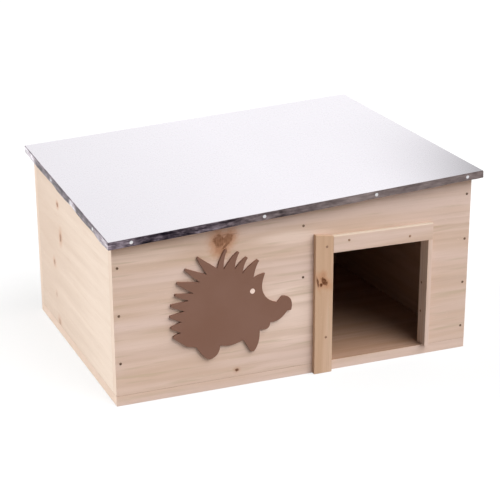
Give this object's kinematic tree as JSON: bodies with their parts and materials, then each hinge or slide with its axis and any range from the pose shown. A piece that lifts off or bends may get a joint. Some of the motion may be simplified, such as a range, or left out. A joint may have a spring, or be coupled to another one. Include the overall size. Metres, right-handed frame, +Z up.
{
  "type": "hedgehog house",
  "caption": "Wooden hedgehog house with a sloping metal-covered roof that hinges open, a batten-framed entrance, an inner partition and a hedgehog plaque on the front.",
  "frame": {"origin": "centre of the footprint, on the ground", "axes": "+Z up; the front with the entrance faces -Y; +X to the right as seen from the front"},
  "size_m": [0.4689, 0.365, 0.2569],
  "materials": {
    "pine": "planed, unfinished",
    "batten_pine": "planed, unfinished",
    "roof_wood": "planed, unfinished",
    "zinc_sheet": "zinc coated, satin",
    "nail_steel": "bright",
    "hinge_steel": "zinc coated, satin",
    "plaque_brown": "brown paint, matt",
    "eye_cream": "bare, pale"
  },
  "bodies": {
    "house": {"floor_board": "pine", "front_panel": "pine", "left_side": "pine", "right_side": "pine", "back_panel": "pine", "partition_wall": "pine", "door_post": "batten_pine", "door_lintel": "batten_pine", "door_jamb": "batten_pine", "front_nails": "nail_steel", "back_nails": "nail_steel", "floor_nails": "nail_steel", "trim_nails": "nail_steel", "hedgehog_plaque": "plaque_brown", "eye_peg": "eye_cream", "left_hinge_wall_leaf": "hinge_steel", "right_hinge_wall_leaf": "hinge_steel", "left_hinge_pin": "hinge_steel", "right_hinge_pin": "hinge_steel", "wall_leaf_screws": "hinge_steel"},
    "lid": {"roof_board": "roof_wood", "roof_sheet": "zinc_sheet", "lip_nails": "nail_steel", "left_hinge_roof_leaf": "hinge_steel", "right_hinge_roof_leaf": "hinge_steel", "roof_leaf_screws": "hinge_steel"}
  },
  "joints": [
    {"name": "roof_hinge", "type": "hinge", "parent": "house", "child": "lid", "pos_m": [-0.0004, 0.17325, 0.22727], "axis": [-0.9976, 0, -0.0687], "range_deg": [0, 105]}
  ]
}
